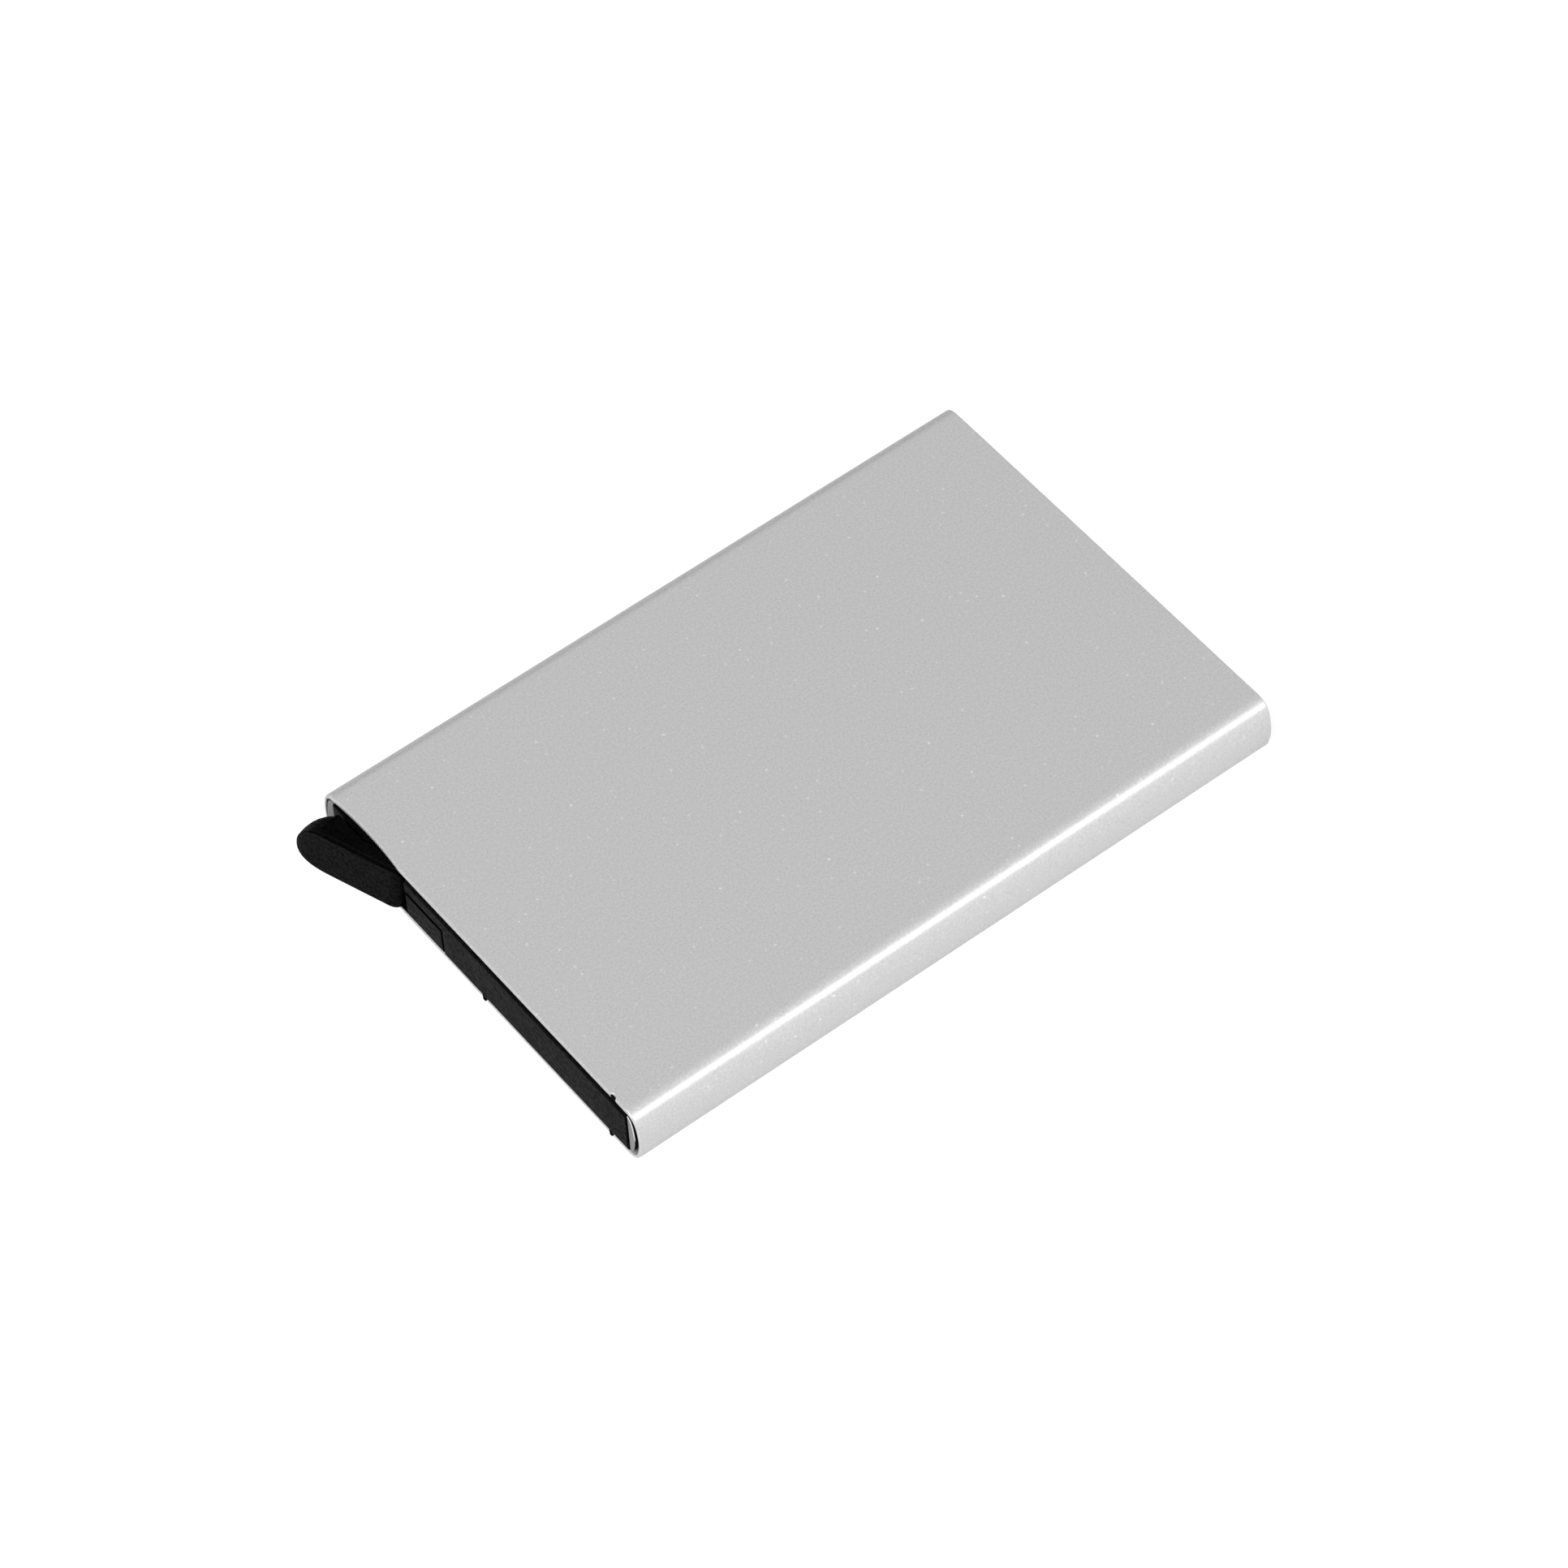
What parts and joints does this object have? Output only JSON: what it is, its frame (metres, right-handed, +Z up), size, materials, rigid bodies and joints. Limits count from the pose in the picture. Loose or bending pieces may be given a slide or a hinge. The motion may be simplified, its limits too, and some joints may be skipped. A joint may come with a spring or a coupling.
{
  "type": "pop-up business card case",
  "caption": "Flat aluminium sleeve with rounded long sides that holds business cards; a sprung thumb lever at one corner slides the cards out in a stepped fan.",
  "frame": {"origin": "centre of the sleeve's flat bottom face", "axes": "+X along the case from the lever end to the open card end, +Y towards the lever's corner, +Z up through the flat faces"},
  "size_m": [0.1007, 0.063, 0.009],
  "materials": {
    "anodised_aluminium": "fine blasted and clear anodised, satin",
    "grey_plastic": "satin",
    "black_plastic": "fine moulded grain, satin",
    "dark_felt": "short pile",
    "steel": "drawn wire"
  },
  "bodies": {
    "case": {"card_sleeve": "anodised_aluminium", "side_rail_left": "grey_plastic", "side_rail_right": "grey_plastic", "felt_strip_left": "dark_felt", "felt_strip_right": "dark_felt", "end_cap": "black_plastic", "pivot_block": "black_plastic", "lever_pin": "steel", "return_spring": "steel"},
    "lever": {"eject_lever": "black_plastic"}
  },
  "joints": [
    {"name": "lever_swing", "type": "hinge", "parent": "case", "child": "lever", "pos_m": [-0.04275, 0.024, 0.0045], "axis": [0, 0, 1], "range_deg": [0, 35], "stiffness_Nm_per_rad": 0.008, "springref_deg": -28.65, "deforming": ["return_spring"]}
  ]
}
